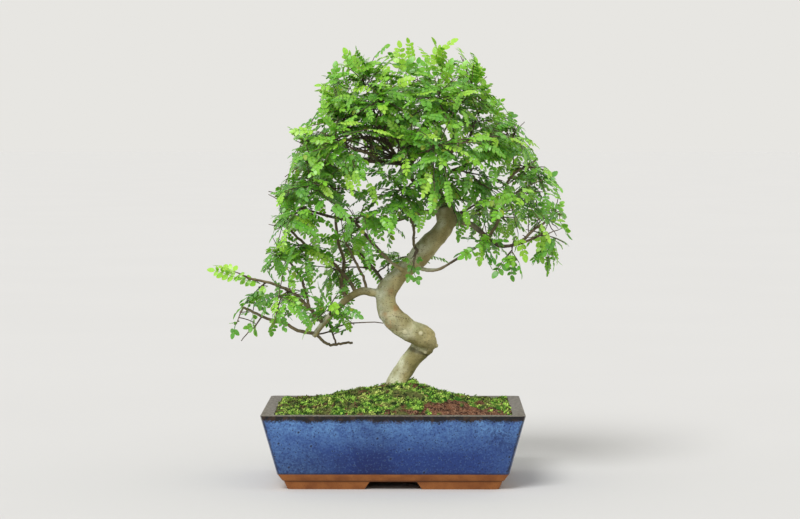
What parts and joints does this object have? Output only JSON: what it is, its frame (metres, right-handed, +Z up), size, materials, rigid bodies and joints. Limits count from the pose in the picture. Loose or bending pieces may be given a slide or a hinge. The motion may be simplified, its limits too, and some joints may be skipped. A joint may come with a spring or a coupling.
{
  "type": "japanese pepper bonsai",
  "caption": "Japanese pepper bonsai with a folded trunk, branches and sprays of pinnate leaves, rooted in mossy soil in a rectangular blue glazed tray on feet.",
  "frame": {"origin": "centre of the tray on the surface that it stands on", "axes": "+Z up the tree, +X to the right of the displayed tree, -Y toward the viewer (its front)"},
  "size_m": [0.3867, 0.2468, 0.4841],
  "materials": {
    "blue_glaze": "gloss",
    "screen": "matte",
    "soil": "matte",
    "moss": "matte",
    "bark": "matte",
    "leaf": "satin",
    "new_leaf": "satin"
  },
  "bodies": {
    "root": {"tray": "blue_glaze", "drain_screen_left": "screen", "drain_screen_right": "screen", "soil": "soil", "moss": "moss", "moss_patch": "moss", "trunk": "bark", "spray_far_left_shoot": "new_leaf", "spray_low_left_tip": "leaf", "spray_low_left_upright": "leaf", "spray_left_hanging": "leaf", "spray_left_front": "leaf", "spray_left_inner_tip": "leaf", "spray_limb_front": "leaf", "spray_limb_end": "leaf", "spray_left_up_tip": "leaf", "spray_left_up_front": "leaf", "spray_limb_top_tip": "leaf", "spray_back_low_tip": "leaf", "spray_back_low_side": "leaf", "spray_back_low_left": "leaf", "spray_left_level_tip": "leaf", "spray_left_level_front": "leaf", "spray_second_limb_tip": "leaf", "spray_second_limb_front": "leaf", "spray_riser_tip": "leaf", "spray_big_left_tip": "leaf", "spray_big_left_low": "leaf", "spray_big_left_mid": "leaf", "spray_back_left_tip": "leaf", "spray_back_left_top": "leaf", "spray_left_leader_tip": "leaf", "spray_left_leader_left": "leaf", "spray_left_leader_front": "leaf", "spray_front_left_tip": "leaf", "spray_leader_tip": "new_leaf", "spray_leader_left": "new_leaf", "spray_leader_right": "leaf", "spray_leader_front": "leaf", "spray_leader_back": "leaf", "spray_back_high_tip": "leaf", "spray_back_right_tip": "leaf", "spray_back_right_top": "leaf", "spray_right_upper_tip": "leaf", "spray_right_upper_front": "leaf", "spray_front_high_tip": "leaf", "spray_front_high_mid": "leaf", "spray_right_mid_tip": "leaf", "spray_right_mid_front": "leaf", "spray_right_far_tip": "leaf", "spray_right_thick_tip": "leaf", "spray_right_hanging": "leaf", "spray_right_low_tip": "leaf", "spray_back_mid_tip": "leaf", "spray_back_mid_side": "leaf", "spray_stub_front": "leaf", "spray_stub_right": "leaf", "spray_front_twig_tip": "leaf", "spray_front_twig_low": "leaf"}
  },
  "joints": []
}
